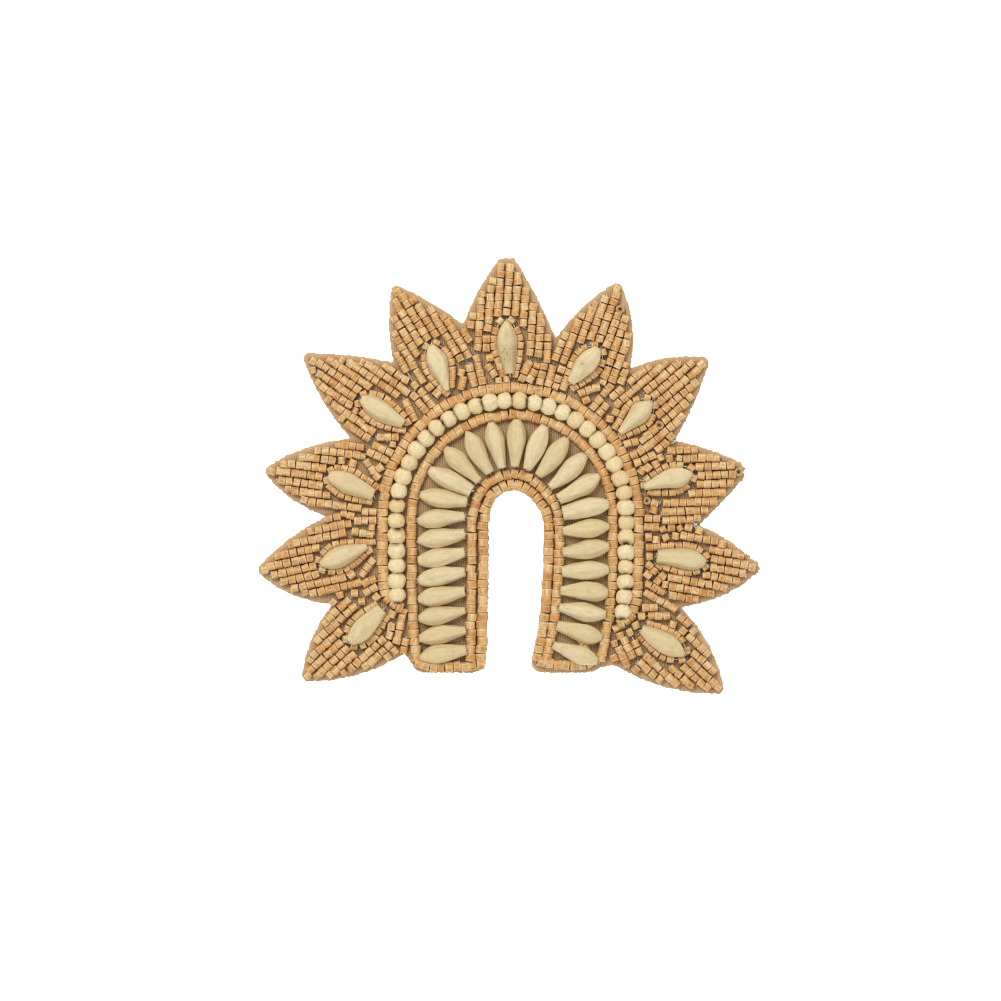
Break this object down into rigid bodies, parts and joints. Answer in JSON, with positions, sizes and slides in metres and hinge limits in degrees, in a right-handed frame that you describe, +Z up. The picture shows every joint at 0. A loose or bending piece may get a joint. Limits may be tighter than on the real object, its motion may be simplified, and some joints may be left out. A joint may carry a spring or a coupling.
{
  "type": "beaded wood applique",
  "caption": "Flat cloth cut-out in the shape of an arch with petals, sewn all over with turned wooden beads.",
  "frame": {"origin": "middle of the cloth's box, on its underside", "axes": "+Z up through the beads, +X to the right leg, +Y away from the open foot of the arch"},
  "size_m": [0.201, 0.1746, 0.0097],
  "materials": {
    "cloth": "ribbed tan cotton, matte",
    "barrel_wood": "raw turned wood, warm tan, matte",
    "pale_wood": "raw pale turned wood, matte"
  },
  "bodies": {
    "root": {"fabric_backing": "cloth", "outer_border_row": "barrel_wood", "inner_border_row": "barrel_wood", "opening_second_row": "barrel_wood", "opening_edge_row": "barrel_wood", "left_foot_row": "barrel_wood", "right_foot_row": "barrel_wood", "round_bead_row": "pale_wood", "arch_bead_01": "pale_wood", "arch_bead_02": "pale_wood", "arch_bead_03": "pale_wood", "arch_bead_04": "pale_wood", "arch_bead_05": "pale_wood", "arch_bead_06": "pale_wood", "arch_bead_07": "pale_wood", "arch_bead_08": "pale_wood", "arch_bead_09": "pale_wood", "arch_bead_10": "pale_wood", "arch_bead_11": "pale_wood", "arch_bead_12": "pale_wood", "arch_bead_13": "pale_wood", "arch_bead_14": "pale_wood", "arch_bead_15": "pale_wood", "arch_bead_16": "pale_wood", "arch_bead_17": "pale_wood", "arch_bead_18": "pale_wood", "arch_bead_19": "pale_wood", "arch_bead_20": "pale_wood", "arch_bead_21": "pale_wood", "arch_bead_22": "pale_wood", "arch_bead_23": "pale_wood", "arch_bead_24": "pale_wood", "arch_bead_25": "pale_wood", "arch_bead_26": "pale_wood", "petal_bead_01": "pale_wood", "petal_small_beads_01": "barrel_wood", "petal_bead_02": "pale_wood", "petal_small_beads_02": "barrel_wood", "petal_bead_03": "pale_wood", "petal_small_beads_03": "barrel_wood", "petal_bead_04": "pale_wood", "petal_small_beads_04": "barrel_wood", "petal_bead_05": "pale_wood", "petal_small_beads_05": "barrel_wood", "petal_bead_06": "pale_wood", "petal_small_beads_06": "barrel_wood", "petal_bead_07": "pale_wood", "petal_small_beads_07": "barrel_wood", "petal_bead_08": "pale_wood", "petal_small_beads_08": "barrel_wood", "petal_bead_09": "pale_wood", "petal_small_beads_09": "barrel_wood", "petal_bead_10": "pale_wood", "petal_small_beads_10": "barrel_wood", "petal_bead_11": "pale_wood", "petal_small_beads_11": "barrel_wood"}
  },
  "joints": []
}
